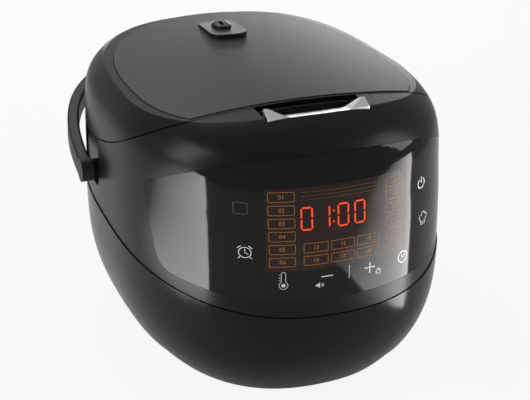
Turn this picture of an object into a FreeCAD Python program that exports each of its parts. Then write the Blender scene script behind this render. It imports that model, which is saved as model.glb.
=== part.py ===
"""Electric multicooker: a moulded body with a hinged lid, a removable pot, a carry handle and a touch panel."""
import math
import os

import FreeCAD, Part
from FreeCAD import Vector

os.makedirs("parts", exist_ok=True)

# Frame: X to the right, Y to the back, Z up, in millimetres, with the feet standing on Z = 0.

# Body outline: half widths and reaches are measured from plan_y, the Y of the widest line.
body_width = 296.0
front_reach = 188.0
back_reach = 183.0
plan_y = -18.0
foot_height = 4.0
widest_z = 118.0
crown_z = 260.0
base_taper = 36.0
taper_power = 3.2
side_lean = 5.5
front_lean = 17.0
back_lean = 2.0
side_shoulder_z = 213.0
side_shoulder = 62.0
nose_z = 212.0
nose_depth = 100.0
back_shoulder_z = 226.0
back_shoulder = 42.0
front_exponent = 2.35
back_exponent = 3.2
plan_points = 20
dome_radius = 790.0
dome_front_z = 250.6
dome_slope = 0.0234

# Shells and the lines where they part.
wall = 3.2
shell_gap = 0.3
lower_shell_proud = 1.0
base_ring_top = 24.0
floor_thickness = 3.0
base_lip = 6.0
base_lip_wall = 2.6
base_wall = 4.4
lower_seam = ((-200.0, 94.5), (-80.0, 116.0), (60.0, 124.5))
parting_radius = 341.0
parting_y = 70.0
parting_z = 184.5
lid_gap = 1.2
lid_front_y = -121.5
rear_sill_z = 182.5
rear_sill_y = 112.0

# Lid hinge.
hinge_y = 140.0
hinge_z = 208.0
hinge_pin_radius = 3.0
hinge_pin_half_length = 92.0
running_clearance = 0.15
ear_x = 82.0
ear_width = 8.0
ear_radius = 8.5
knuckle_x = 64.0
knuckle_width = 20.0
hinge_spring_gap = 0.3
tail_radius = 29.0
tail_clearance = 0.5
hinge_spring_wire = 1.8
hinge_spring_turns = 6

# Control panel, its outline is drawn in side view.
panel_thickness = 2.0
panel_gap = 0.25
panel_top_z = 231.5
panel_rise_corner_y = -191.4
panel_side_top = (-103.0, 192.1)
panel_side_bottom = (-123.0, 121.0)
panel_bottom_slope = 0.145
panel_brow_radius = 80.0
panel_upper_radius = 12.0
panel_lower_radius = 22.0
display_width = 122.0
display_height = 67.0
display_bottom_z = 138.0
display_front_y = -189.5
display_depth = 18.0
display_tilt = 4.3
board_width = 168.0
board_height = 88.0
board_thickness = 1.6
board_post_x = 76.0
board_post_z = 34.0
board_post_radius = 4.0
touch_key_radius = 4.0
touch_keys = ((-80, 190), (80, 190), (-78, 154), (82, 155), (-49, 130), (-13, 129), (25, 130), (59, 130))

# Pot and heating.
pot_y = 3.0
pot_radius = 111.0
pot_rim_radius = 117.0
pot_wall = 1.8
pot_floor = 2.6
pot_corner_radius = 20.0
pot_bottom_z = 41.0
pot_rim_z = 183.0
pot_rim_thickness = 1.6
chamber_clearance = 3.0
chamber_wall = 0.8
chamber_flange = 6.0
chamber_bottom_z = 23.0
chamber_bottom_ring = 12.0
heater_radius = 98.0
heater_thickness = 14.0
heater_edge_drop = 4.0
heater_leg_radius = 5.0
heater_leg_circle = 72.0
heater_tube_circle = 70.0
heater_tube_radius = 5.0
band_height = 40.0
band_bottom_z = 92.0
band_thickness = 1.6
sensor_radius = 14.0
sensor_clearance = 1.5
sensor_head = 7.0
sensor_stem_radius = 4.0
sensor_travel = 3.0
sensor_guide_radius = 9.0
sensor_guide_top = 21.0
sensor_pot_gap = 0.3
sensor_spring_wire = 1.0
sensor_spring_turns = 4

# Top deck around the pot.
deck_top_z = 179.5
deck_thickness = 3.0
deck_inset = 0.4
deck_wall_y = -123.6
deck_wall = 2.4

# Lid.
panel_half_width = 122.4
panel_half_depth = 151.0
panel_center_y = -11.5
panel_exponent = 2.5
lid_panel_thickness = 2.6
lid_panel_proud = 0.6
lid_panel_front = 3.5
lid_panel_gap = 0.5
liner_inset = 2.6
liner_wall = 2.4
liner_bottom_z = 188.4
liner_top_z = 236.0
liner_front = 3.5
liner_post_radius = 4.0
liner_posts = ((-92, -60), (92, -60), (-92, 70), (92, 70))
inner_lid_radius = 112.0
inner_lid_thickness = 1.2
gasket_width = 8.0
gasket_depth = 3.6
gasket_pot_gap = 0.3
catch_width = 30.0
catch_thickness = 1.6
catch_reach = 4.4
catch_z = 204.5

# Steam vent.
vent_y = 86.0
vent_width = 36.0
vent_front_y = 54.0
vent_back_y = 106.0
vent_front_rise = 4.0
vent_back_rise = 1.6
vent_front_corner = 12.0
vent_back_corner = 5.0
vent_tube_wall = 1.8
valve_width = 17.0
valve_length = 24.0
valve_clearance = 0.4
valve_depth = 30.0
valve_wall = 2.0
valve_rise = 2.8
valve_slot_width = 3.8
valve_slot_length = 12.0
steam_hole_radius = 5.0

# Release bar and its latch.
bar_half_width = 45.0
bar_front_y = -153.7
bar_back_y = -141.5
bar_front_z = 250.0
bar_back_z = 255.0
bar_bottom_z = 244.0
bar_clearance = 0.8
bar_scoop_front_z = 249.0
bar_scoop_fall = 0.16
bar_scoop_half_width = 38.5
bar_scoop_floor_half_width = 27.0
bar_scoop_radius = 9.0
bar_edge_radius = 1.2
latch_pivot_y = -150.5
latch_pivot_z = 240.0
latch_pin_radius = 1.6
latch_width = 26.0
latch_eye_radius = 3.6
hook_z = 208.4
hook_height = 3.4
hook_engagement = 2.2
lug_x = 20.0
lug_width = 4.0
recess_floor_z = 239.0
recess_floor_thickness = 2.0
latch_spring_wire = 0.8
latch_spring_turns = 5

# Carry handle.
handle_pivot_y = 17.0
handle_pivot_z = 158.0
handle_rest_angle = 12.5
handle_half_width = 162.0
handle_reach = 192.7
handle_exponent = 2.5
handle_outer_thickness = 6.0
handle_inner_thickness = 4.8
handle_arm_length = 110.0
handle_liner_gap = 0.3
handle_band = 20.0
handle_edge_radius = 2.5
handle_boss_radius = 11.0
handle_pin_radius = 4.0
handle_pin_inner_x = 137.0
handle_pin_engagement = 8.0
handle_stub_radius = 9.0
handle_side_clearance = 0.5
handle_recess_depth = 6.0
handle_recess_front_y = 3.0
handle_recess_back_y = 68.0
handle_recess_bottom_z = 143.0
handle_pad = 5.0

# Rear: condensate cup and mains inlet.
cup_half_width = 42.0
cup_front_y = 127.0
cup_bottom_z = 141.0
cup_top_z = 172.0
cup_wall = 2.0
cup_clearance = 0.5
cup_shelf = 2.4
inlet_z = 84.0
inlet_half_width = 15.0
inlet_half_height = 11.0
inlet_body_depth = 22.0
inlet_flange = 3.0
inlet_flange_thickness = 2.0
inlet_flange_sink = 1.2
socket_half_width = 12.3
socket_half_height = 8.3
socket_depth = 17.0
inlet_pin_width = 2.0
inlet_pin_height = 4.0
inlet_pin_length = 14.0
inlet_pin_pitch = 7.0
inlet_pin_drop = 2.0

# Base fittings.
foot_radius = 9.0
foot_seat = 1.0
foot_spots = ((-76, -110), (76, -110), (-76, 90), (76, 90))
screw_head_radius = 3.6
screw_shank_radius = 1.7
screw_length = 16.0
screw_head = 2.0
screw_spots = ((-66, -126), (66, -126), (-96, 40), (96, 40), (0, 118))
screw_post_radius = 5.0
vent_slot_width = 3.0
vent_slot_length = 34.0
vent_slot_pitch = 9.0
vent_slot_count = 7
power_board_width = 116.0
power_board_depth = 40.0
power_board_y = -142.0
power_board_z = 22.0

big = 400.0
base_z = foot_height
upper_foot_z = base_z + 0.72 * (widest_z - base_z)
lid_foot_z = parting_z - 8.5
panel_foot_z = upper_foot_z
panel_head_z = panel_top_z + 6.5
half_width = body_width / 2
pot_axis = Vector(0, pot_y, 0)
up = Vector(0, 0, 1)
right = Vector(1, 0, 0)
backward = Vector(0, 1, 0)
nodes = {}


# Helpers for plain solids
def block(x0, x1, y0, y1, z0, z1):
    return Part.makeBox(x1 - x0, y1 - y0, z1 - z0, Vector(x0, y0, z0))


def rod_x(radius, x0, x1, y, z):
    return Part.makeCylinder(radius, x1 - x0, Vector(x0, y, z), right)


def rod_y(radius, y0, y1, x, z):
    return Part.makeCylinder(radius, y1 - y0, Vector(x, y0, z), backward)


def rod_z(radius, z0, z1, x, y):
    return Part.makeCylinder(radius, z1 - z0, Vector(x, y, z0), up)


def fuse(shapes):
    shapes = list(shapes)
    return shapes[0].multiFuse(shapes[1:]).removeSplitter() if len(shapes) > 1 else shapes[0]


def both_sides(shape):
    return [shape, shape.mirror(Vector(0, 0, 0), right)]


def side_prism(points, half_span=big):
    """Closed side-view outline of Y, Z points, or (middle, end) pairs for arcs, extruded across X."""
    edges = []
    last = Vector(-half_span, *points[0])
    for point in points[1:] + points[:1]:
        arc = isinstance(point[0], tuple)
        end = Vector(-half_span, *(point[1] if arc else point))
        if arc:
            edges.append(Part.Arc(last, Vector(-half_span, *point[0]), end).toShape())
        elif (end - last).Length > 1e-6:
            edges.append(Part.LineSegment(last, end).toShape())
        last = end
    return Part.Face(Part.Wire(edges)).extrude(Vector(2 * half_span, 0, 0))


def stadium(width, length, x, y, z0, z1):
    """Upright oval prism with its long side along Y."""
    straight = (length - width) / 2
    middle = block(x - width / 2, x + width / 2, y - straight, y + straight, z0, z1)
    ends = [rod_z(width / 2, z0, z1, x, y + side * straight) for side in (-1, 1)]
    return fuse([middle] + ends)


def ring(outer, inner, z0, z1):
    return rod_z(outer, z0, z1, 0, pot_y).cut(rod_z(inner, z0 - 1, z1 + 1, 0, pot_y))


def revolved(outline):
    """Turn a closed outline of radius, Z points, or (middle, end) pairs for arcs, about the pot's axis."""
    edges = []
    last = Vector(outline[0][0], 0, outline[0][1])
    for point in outline[1:] + outline[:1]:
        arc = isinstance(point[0], tuple)
        end = Vector((point[1] if arc else point)[0], 0, (point[1] if arc else point)[1])
        if arc:
            edges.append(Part.Arc(last, Vector(point[0][0], 0, point[0][1]), end).toShape())
        else:
            edges.append(Part.LineSegment(last, end).toShape())
        last = end
    solid = Part.Face(Part.Wire(edges)).revolve(Vector(0, 0, 0), up, 360)
    solid.translate(pot_axis)
    return solid


def coil(name, start, axis, radius, wire, turns, pitch):
    """Helical spring as one tube on arcs of half a turn, along X or Z."""
    side = backward if axis == right else right
    other = axis.cross(side)

    def at(turn):
        angle = 2 * math.pi * turn
        return start + side * (radius * math.cos(angle)) + other * (radius * math.sin(angle)) + axis * (pitch * turn)

    halves = [Part.Arc(at(k / 2), at(k / 2 + 0.25), at(k / 2 + 0.5)).toShape() for k in range(2 * turns)]
    path = Part.Wire(halves)
    apart = min(one.distToShape(two)[0] for k, one in enumerate(halves) for two in halves[k + 2:])
    print(f"{name}: least gap to itself {apart - wire:.2f} mm")
    tangent = halves[0].tangentAt(halves[0].FirstParameter)
    section = Part.Wire(Part.makeCircle(wire / 2, at(0), tangent))
    return path.makePipeShell([section], True, False)


# The moulded outline that all shells share
def rounding(z, start, inset):
    share = min(1.0, max(0.0, (z - start) / (crown_z - start)))
    return inset * (1 - math.sqrt(1 - share * share))


def reaches(z):
    """Half width, front reach and back reach of the moulded outline at a height."""
    taper = base_taper * max(0.0, 1 - (z - base_z) / (widest_z - base_z)) ** taper_power
    lean = max(0.0, (z - widest_z) / (crown_z - widest_z)) ** 2
    half = half_width - taper - side_lean * lean - rounding(z, side_shoulder_z, side_shoulder)
    front = front_reach - taper - front_lean * lean - rounding(z, nose_z, nose_depth)
    back = back_reach - taper - back_lean * lean - rounding(z, back_shoulder_z, back_shoulder)
    return half, front, back


def section(z, level, inset):
    """Closed plan curve, a superellipse that is squarer at the back, drawn at z with the size it has at level."""
    half, front, back = reaches(level)
    points = []
    for k in range(plan_points):
        angle = 2 * math.pi * k / plan_points
        across, along = math.cos(angle), math.sin(angle)
        power = 2 / (front_exponent if along < 0 else back_exponent)
        reach = (front if along < 0 else back) - inset
        x = math.copysign(abs(across) ** power, across) * (half - inset)
        y = math.copysign(abs(along) ** power, along) * reach
        points.append(Vector(x, plan_y + y, z))
    curve = Part.BSplineCurve()
    curve.interpolate(points, PeriodicFlag=True)
    return Part.Wire(curve.toShape())


lower_shares = (0.0, 0.05, 0.13, 0.27, 0.5, 0.75, 1.0)
middle_shares = (0.25, 0.5, 0.75)
upper_steps = 6
levels = [base_z + share * (widest_z - base_z) for share in lower_shares]
levels += [widest_z + share * (nose_z - widest_z) for share in middle_shares]
levels += [nose_z + (crown_z - nose_z) * math.sin(math.pi / 2 * k / upper_steps) for k in range(upper_steps + 1)]
hulls = {}


def hull(inset, low, high):
    """The moulded outline between two heights as a solid, drawn in by a wall thickness."""
    key = (round(inset, 3), low, high)
    if key not in hulls:
        heights = [low] + [z for z in levels if low + 3 < z < high - 1] + [high]
        sections = [section(z - (inset if z > widest_z else 0), z, inset) for z in heights]
        hulls[key] = Part.makeLoft(sections, True, False)
    return hulls[key]


def dome_z(x, y):
    return dome_front_z + dome_slope * (y - lid_front_y) - dome_radius + math.sqrt(dome_radius ** 2 - x ** 2)


def dome(depth):
    """The lid's long crown, rising a little to the back, as the solid under it."""
    axis = Vector(0, 1, dome_slope)
    start = Vector(0, lid_front_y, dome_front_z - depth - dome_radius) - axis * big
    return Part.makeCylinder(dome_radius, 2.2 * big, start, axis)


crowned = {}


def moulding(inset, low):
    """The moulded outline from a height up to the crown."""
    key = (round(inset, 3), low)
    if key not in crowned:
        crowned[key] = hull(inset, low, crown_z).common(dome(inset))
    return crowned[key]


def circle_z(points, y, lower):
    """Height at y on the circle through three side-view points."""
    (y1, z1), (y2, z2), (y3, z3) = points
    d = 2 * (y1 * (z2 - z3) + y2 * (z3 - z1) + y3 * (z1 - z2))
    s1, s2, s3 = y1 * y1 + z1 * z1, y2 * y2 + z2 * z2, y3 * y3 + z3 * z3
    yc = (s1 * (z2 - z3) + s2 * (z3 - z1) + s3 * (z1 - z2)) / d
    zc = (s1 * (y3 - y2) + s2 * (y1 - y3) + s3 * (y2 - y1)) / d
    rise = math.sqrt((y1 - yc) ** 2 + (z1 - zc) ** 2 - (y - yc) ** 2)
    return zc - rise if lower else zc + rise


seam_end = 240.0


def seam_points(offset):
    return [(y, circle_z(lower_seam, y, False) + offset) for y in (-seam_end, lower_seam[1][0], seam_end)]


def parting_at(y, gap):
    """Height of the line where the lid meets the body, gap above the body's edge."""
    radius = parting_radius - gap
    if y >= parting_y:
        return parting_z + gap
    return parting_z + parting_radius - math.sqrt(radius ** 2 - (y - parting_y) ** 2)


def parting_arc(y_end, gap):
    middle = (y_end + parting_y) / 2
    return ((middle, parting_at(middle, gap)), (y_end, parting_at(y_end, gap)))


def body_region():
    """Side view of the upper shell: the lower seam, the rear sill, the parting arc and the nose before the lid."""
    front, middle, rear = seam_points(shell_gap)
    nose_back_y = lid_front_y - lid_gap
    outline = [rear, (seam_end, rear_sill_z), (rear_sill_y, rear_sill_z), (rear_sill_y - 12, parting_z)]
    outline += [(parting_y, parting_z), parting_arc(nose_back_y, 0)]
    outline += [(nose_back_y, crown_z + 1), (-seam_end, crown_z + 1), front]
    prism = side_prism(outline[:-1] + [front, (middle, rear)])
    return prism


def lid_region(front_y, rear_radius):
    """Side view of the lid: the parting arc, a tail that is round about the hinge, and the front edge."""
    drop = hinge_z - parting_z - lid_gap
    half_turn = math.asin(drop / rear_radius) / 2
    middle = (hinge_y + rear_radius * math.cos(half_turn), hinge_z - rear_radius * math.sin(half_turn))
    outline = [(parting_y, parting_z + lid_gap), (hinge_y + math.sqrt(rear_radius ** 2 - drop ** 2), hinge_z - drop)]
    outline += [(middle, (hinge_y + rear_radius, hinge_z))]
    outline += [(seam_end, hinge_z), (seam_end, crown_z + 1), (front_y, crown_z + 1)]
    outline += [(front_y, parting_at(front_y, lid_gap))]
    middle = (front_y + parting_y) / 2
    edges = outline + [((middle, parting_at(middle, lid_gap)), outline[0])]
    return side_prism(edges)


def panel_prism(inset):
    """Side-view outline of the control panel, swept across the body."""
    slope = math.atan(panel_bottom_slope)
    far = -big
    low = panel_side_bottom[1] + panel_bottom_slope * (far - panel_side_bottom[0])
    outline = [(far, panel_top_z), (panel_rise_corner_y, panel_top_z), panel_side_top, panel_side_bottom, (far, low)]
    prism = side_prism(outline)

    def edge_at(point):
        for edge in prism.Edges:
            middle = edge.CenterOfMass
            if abs(middle.y - point[0]) < 0.01 and abs(middle.z - point[1]) < 0.01:
                return edge

    prism = prism.makeFillet(panel_brow_radius, [edge_at(outline[1])])
    prism = prism.makeFillet(panel_upper_radius, [edge_at(panel_side_top)])
    prism = prism.makeFillet(panel_lower_radius, [edge_at(panel_side_bottom)])
    if inset:
        prism = prism.makeOffsetShape(-inset, 0.01, fill=False)
    return prism


def lid_outline(grow, z0, z1):
    """Prism of the lid's D-shaped top panel, straight at the front."""
    points = []
    for k in range(plan_points):
        angle = 2 * math.pi * k / plan_points
        across, along = math.cos(angle), math.sin(angle)
        power = 2 / panel_exponent
        x = math.copysign(abs(across) ** power, across) * (panel_half_width + grow)
        y = math.copysign(abs(along) ** power, along) * (panel_half_depth + grow)
        points.append(Vector(x, panel_center_y + y, z0))
    curve = Part.BSplineCurve()
    curve.interpolate(points, PeriodicFlag=True)
    prism = Part.Face(Part.Wire(curve.toShape())).extrude(Vector(0, 0, z1 - z0))
    front = lid_front_y + lid_panel_front - grow
    return prism.common(block(-big, big, front, big, z0 - 1, z1 + 1))


def tilted(shape):
    """Lean a piece back with the display, about the display's lower front edge."""
    shape = shape.copy()
    shape.rotate(Vector(0, display_front_y, display_bottom_z), right, -display_tilt)
    return shape


# Base
def base_plate():
    outer = hull(shell_gap, base_z, base_ring_top)
    inner = hull(shell_gap + base_wall, base_z + floor_thickness, base_ring_top + 1)
    lip_bottom, lip_top = base_ring_top - 4, base_ring_top + base_lip
    lip = hull(wall + shell_gap, lip_bottom, lip_top)
    lip = lip.cut(hull(wall + shell_gap + base_lip_wall, lip_bottom - 1, lip_top + 1))
    plate = outer.cut(inner).fuse(lip)
    floor_z = base_z + floor_thickness
    posts = [rod_z(screw_post_radius, floor_z - 1, base_ring_top - 4, x, y) for x, y in screw_spots]
    legs = heater_leg_places()
    posts += [rod_z(heater_leg_radius + 2, floor_z - 1, floor_z + 3, x, y) for x, y in legs]
    board = [(sx * (power_board_width / 2 - 6), power_board_y + sy * (power_board_depth / 2 - 6))
             for sx in (-1, 1) for sy in (-1, 1)]
    posts += [rod_z(3, floor_z - 1, power_board_z, x, y) for x, y in board]
    plate = fuse([plate] + posts)
    cuts = [rod_z(foot_radius + running_clearance, base_z - 1, base_z + foot_seat, x, y) for x, y in foot_spots]
    for x, y in screw_spots:
        cuts.append(rod_z(screw_head_radius + 0.4, base_z - 1, base_z + screw_head, x, y))
        cuts.append(rod_z(screw_shank_radius, base_z, base_z + screw_length + 1, x, y))
    first = -(vent_slot_count - 1) / 2
    for k in range(vent_slot_count):
        x = (first + k) * vent_slot_pitch
        for y in (-70.0, 40.0):
            cuts.append(block(x - vent_slot_width / 2, x + vent_slot_width / 2, y, y + vent_slot_length,
                              base_z - 1, floor_z + 1))
    return plate.cut(Part.makeCompound(cuts))


def heater_leg_places():
    angles = [math.radians(a) for a in (90, 210, 330)]
    return [(heater_leg_circle * math.cos(a), pot_y + heater_leg_circle * math.sin(a)) for a in angles]


def base_screw(x, y):
    head = rod_z(screw_head_radius, base_z + 0.2, base_z + screw_head, x, y)
    head = head.cut(block(x - 0.5, x + 0.5, y - big, y + big, base_z, base_z + 1))
    return head.fuse(rod_z(screw_shank_radius, base_z + screw_head - 0.1, base_z + screw_length, x, y))


nodes["base_plate"] = base_plate()
nodes["rubber_feet"] = Part.makeCompound(
    [rod_z(foot_radius, 0, foot_height + foot_seat, x, y) for x, y in foot_spots])
nodes["base_screws"] = Part.makeCompound([base_screw(x, y) for x, y in screw_spots])


# Lower shell with the mains inlet at the back
inlet_y = plan_y + reaches(inlet_z)[2] + lower_shell_proud
inlet_flange_y = inlet_y - inlet_flange_sink


def lower_shell():
    front, middle, rear = seam_points(0)
    low, high = base_ring_top + shell_gap, middle[1] + 16
    above = side_prism([front, (middle, rear), (seam_end, high + 20), (-seam_end, high + 20)])
    shell = hull(-lower_shell_proud, low, high).cut(hull(wall, low - 1, high + 1)).cut(above)
    gap = running_clearance
    hole = block(-inlet_half_width - gap, inlet_half_width + gap, inlet_y - 40, inlet_y + 40,
                 inlet_z - inlet_half_height - gap, inlet_z + inlet_half_height + gap)
    wide, high = inlet_half_width + inlet_flange + gap, inlet_half_height + inlet_flange + gap
    seat = block(-wide, wide, inlet_flange_y - gap, big, inlet_z - high, inlet_z + high)
    return shell.cut(Part.makeCompound([hole, seat]))


def power_inlet():
    mouth_y = inlet_flange_y + inlet_flange_thickness
    body = block(-inlet_half_width, inlet_half_width, inlet_y - inlet_body_depth, mouth_y,
                 inlet_z - inlet_half_height, inlet_z + inlet_half_height)
    wide, high = inlet_half_width + inlet_flange, inlet_half_height + inlet_flange
    flange = block(-wide, wide, inlet_flange_y, mouth_y, inlet_z - high, inlet_z + high)
    flange = flange.makeFillet(3, [e for e in flange.Edges if abs(e.tangentAt(0).y) > 0.9])
    socket = block(-socket_half_width, socket_half_width, mouth_y - socket_depth, mouth_y + 1,
                   inlet_z - socket_half_height, inlet_z + socket_half_height)
    corners = [e for e in socket.Edges if abs(e.tangentAt(0).y) > 0.9 and e.CenterOfMass.z > inlet_z]
    return body.fuse(flange).cut(socket.makeChamfer(4, corners))


def inlet_pins():
    back = inlet_flange_y + inlet_flange_thickness - socket_depth
    places = ((-inlet_pin_pitch, -inlet_pin_drop), (0, inlet_pin_drop), (inlet_pin_pitch, -inlet_pin_drop))
    return Part.makeCompound([
        block(x - inlet_pin_width / 2, x + inlet_pin_width / 2, back, back + inlet_pin_length,
              inlet_z + z - inlet_pin_height / 2, inlet_z + z + inlet_pin_height / 2) for x, z in places])


nodes["lower_shell"] = lower_shell()
nodes["power_inlet"] = power_inlet()
nodes["inlet_pins"] = inlet_pins()


# Upper shell with its nose, panel seat, handle recesses and cup opening
recess_floor_x = half_width - handle_recess_depth
handle_inner_x = handle_half_width - handle_outer_thickness - handle_inner_thickness
stub_end_x = handle_inner_x - handle_side_clearance


def handle_seat():
    """The thick pad, recess and pivot stub on one side of the body."""
    top = parting_z - 0.3
    pad = block(recess_floor_x - handle_pad, half_width, handle_recess_front_y - handle_pad,
                handle_recess_back_y + handle_pad, handle_recess_bottom_z - handle_pad, top)
    recess = block(recess_floor_x, big, handle_recess_front_y, handle_recess_back_y, handle_recess_bottom_z, big)
    low = [e for e in recess.Edges if abs(e.tangentAt(0).x) > 0.9 and e.CenterOfMass.z < top]
    recess = recess.makeFillet(12, low)
    stub = rod_x(handle_stub_radius, recess_floor_x - 1, stub_end_x, handle_pivot_y, handle_pivot_z)
    bore = rod_x(handle_pin_radius, handle_pin_inner_x, stub_end_x + 1, handle_pivot_y, handle_pivot_z)
    return pad.common(hull(0.5, upper_foot_z, lid_foot_z + 24)), recess, stub, bore


def cup_space(grow):
    return block(-cup_half_width - grow, cup_half_width + grow, cup_front_y - grow, big,
                 cup_bottom_z - grow, cup_top_z + grow)


def upper_shell():
    region = body_region()
    pad, recess, stub, bore = handle_seat()
    shell = moulding(0, upper_foot_z).cut(moulding(wall, upper_foot_z - 1)).common(region)
    shell = shell.multiFuse(both_sides(pad))
    shell = shell.cut(panel_pocket())
    shell = shell.cut(Part.makeCompound(both_sides(recess)))
    shell = shell.multiFuse(both_sides(stub)).cut(Part.makeCompound(both_sides(bore)))
    window = block(-display_width / 2 - 1, display_width / 2 + 1, -big, display_front_y + 30,
                   display_bottom_z - 1, display_bottom_z + display_height + 1)
    bar_hole = block(-bar_half_width - bar_clearance, bar_half_width + bar_clearance,
                     bar_front_y - bar_clearance, lid_front_y, bar_bottom_z - 20, crown_z)
    shell = shell.cut(Part.makeCompound([window, bar_hole, cup_space(cup_clearance)]))
    shelf_z = cup_bottom_z - cup_clearance
    shelf = block(-cup_half_width - 4, cup_half_width + 4, cup_front_y, big, shelf_z - cup_shelf, shelf_z)
    cheeks = [block(cup_half_width + cup_clearance, cup_half_width + 4, cup_front_y, big, shelf_z - cup_shelf,
                    cup_top_z)]
    tray = fuse([shelf] + both_sides(cheeks[0])).common(hull(wall / 2, widest_z, lid_foot_z + 24))
    corners = [(sx * board_post_x, board_middle_z() + sz * board_post_z) for sx in (-1, 1) for sz in (-1, 1)]
    inside = hull(panel_thickness + panel_gap + 0.3, panel_foot_z, panel_head_z)
    posts = [tilted(rod_y(board_post_radius, -big, board_front_y(), x, z)).common(inside) for x, z in corners]
    return shell.multiFuse([tray] + posts)


def board_front_y():
    return display_front_y + display_depth


def board_middle_z():
    return display_bottom_z + display_height / 2


def panel_pocket():
    skin = hull(-3, panel_foot_z, panel_head_z + 4).cut(hull(panel_thickness + 0.1, panel_foot_z - 1, panel_head_z + 5))
    return skin.common(panel_prism(0))


def control_panel():
    skin = hull(0, panel_foot_z, panel_head_z).cut(hull(panel_thickness, panel_foot_z - 1, panel_head_z + 3))
    return skin.common(panel_prism(panel_gap))


def display_module():
    box = block(-display_width / 2, display_width / 2, display_front_y, board_front_y(), display_bottom_z,
                display_bottom_z + display_height)
    hollow = block(-display_width / 2 + 2, display_width / 2 - 2, display_front_y + 2, board_front_y() - 2,
                   display_bottom_z + 2, display_bottom_z + display_height - 2)
    return tilted(box.cut(hollow))


def control_board():
    z = board_middle_z()
    board = block(-board_width / 2, board_width / 2, board_front_y(), board_front_y() + board_thickness,
                  z - board_height / 2, z + board_height / 2)
    return tilted(board)


def touch_posts():
    posts = [tilted(rod_y(touch_key_radius, -big, board_front_y(), x, z)) for x, z in touch_keys]
    inside = hull(wall + 0.1, panel_foot_z, panel_head_z)
    return Part.makeCompound([post.common(inside) for post in posts])


nodes["upper_shell"] = upper_shell()
nodes["control_panel"] = control_panel()
nodes["display_module"] = display_module()
nodes["control_board"] = control_board()
nodes["touch_posts"] = touch_posts()
handle_pin_end_x = handle_inner_x + handle_pin_engagement
nodes["handle_pins"] = Part.makeCompound(both_sides(
    rod_x(handle_pin_radius, handle_pin_inner_x, handle_pin_end_x, handle_pivot_y, handle_pivot_z)))


# Power board on the base
def power_parts():
    z = power_board_z + board_thickness
    y = power_board_y
    transformer = block(-48, -14, y - 14, y + 14, z, z + 26)
    relay = block(-4, 16, y - 8, y + 8, z, z + 16)
    cans = [rod_z(r, z, z + h, x, y + dy) for r, h, x, dy in ((5, 16, 26, -8), (5, 16, 26, 8), (7, 20, 42, 0))]
    return Part.makeCompound([transformer, relay] + cans)


nodes["power_board"] = block(-power_board_width / 2, power_board_width / 2, power_board_y - power_board_depth / 2,
                             power_board_y + power_board_depth / 2, power_board_z, power_board_z + board_thickness)
nodes["power_parts"] = power_parts()


# Top deck with the hinge ears and the latch lugs
chamber_inner = pot_radius + chamber_clearance
chamber_outer = chamber_inner + chamber_wall


def top_deck():
    inset = wall + deck_inset
    low = deck_top_z - deck_thickness
    floor = hull(inset, low + inset, deck_top_z + inset).common(
        block(-big, big, deck_wall_y - deck_wall, big, low - 1, deck_top_z + 1))
    floor = floor.cut(rod_x(tail_radius + tail_clearance, -big, big, hinge_y, hinge_z))
    front = moulding(inset, low - 8).common(block(-big, big, deck_wall_y - deck_wall, deck_wall_y, low, crown_z))
    ears = []
    for x0 in (-ear_x - ear_width / 2, ear_x - ear_width / 2):
        stem = block(x0, x0 + ear_width, hinge_y - ear_radius, hinge_y + ear_radius, deck_top_z - 1, hinge_z)
        ears.append(stem.fuse(rod_x(ear_radius, x0, x0 + ear_width, hinge_y, hinge_z)))
    shelf = block(-bar_half_width, bar_half_width, bar_back_y + 2, deck_wall_y - 1,
                  recess_floor_z - recess_floor_thickness, recess_floor_z)
    front_y, back_y, low_z, high_z = latch_pivot_y - 4, deck_wall_y - 1, latch_pivot_z - 5, bar_bottom_z - 0.6
    outline = [(front_y, low_z), (front_y, high_z), (latch_pivot_y + 2.5, high_z), (bar_back_y + 2, recess_floor_z),
               (back_y, recess_floor_z), (back_y, low_z)]
    lugs = side_prism(outline, lug_x + lug_width / 2).cut(side_prism(outline, lug_x - lug_width / 2))
    deck = floor.multiFuse([front, shelf] + ears + lugs.Solids)
    cuts = [rod_z(chamber_outer + running_clearance, deck_top_z - 10, deck_top_z + 1, 0, pot_y)]
    cuts.append(rod_z(chamber_outer + chamber_flange + running_clearance, deck_top_z - 1, deck_top_z + 0.1, 0, pot_y))
    cuts.append(rod_x(hinge_pin_radius, -big, big, hinge_y, hinge_z))
    cuts.append(rod_x(latch_pin_radius, -big, big, latch_pivot_y, latch_pivot_z))
    cuts.append(block(-latch_width / 2 - 0.8, latch_width / 2 + 0.8, deck_wall_y - 20, deck_wall_y + 1,
                      hook_z - 5, hook_z + hook_height + 2))
    cuts.append(stadium(10, 24, 0, hinge_y + 2, deck_top_z - 10, deck_top_z + 1))
    pad = handle_seat()[0]
    grown = block(pad.BoundBox.XMin - shell_gap, big, pad.BoundBox.YMin - shell_gap, pad.BoundBox.YMax + shell_gap,
                  deck_top_z - 10, deck_top_z + 1)
    cuts += both_sides(grown)
    return deck.cut(Part.makeCompound(cuts))


nodes["top_deck"] = top_deck()
nodes["hinge_pin"] = rod_x(hinge_pin_radius, -hinge_pin_half_length, hinge_pin_half_length, hinge_y, hinge_z)


# Heating chamber, heaters and sensor
def inner_chamber():
    top = deck_top_z
    tube = ring(chamber_outer, chamber_inner, chamber_bottom_z, top)
    flange = ring(chamber_outer + chamber_flange, chamber_inner, top - chamber_wall, top)
    bottom = ring(chamber_outer, chamber_outer - chamber_bottom_ring, chamber_bottom_z, chamber_bottom_z + chamber_wall)
    return fuse([tube, flange, bottom])


heater_top = pot_bottom_z
heater_bottom = heater_top - heater_thickness


def heating_plate():
    hole = sensor_radius + sensor_clearance
    outline = [(hole, heater_bottom), (heater_radius - 6, heater_bottom), (heater_radius, heater_bottom + 4),
               (heater_radius, heater_top - heater_edge_drop),
               ((heater_radius - 1.2, heater_top - 1.2), (heater_radius - heater_edge_drop, heater_top)),
               (hole, heater_top)]
    return revolved(outline)


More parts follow.
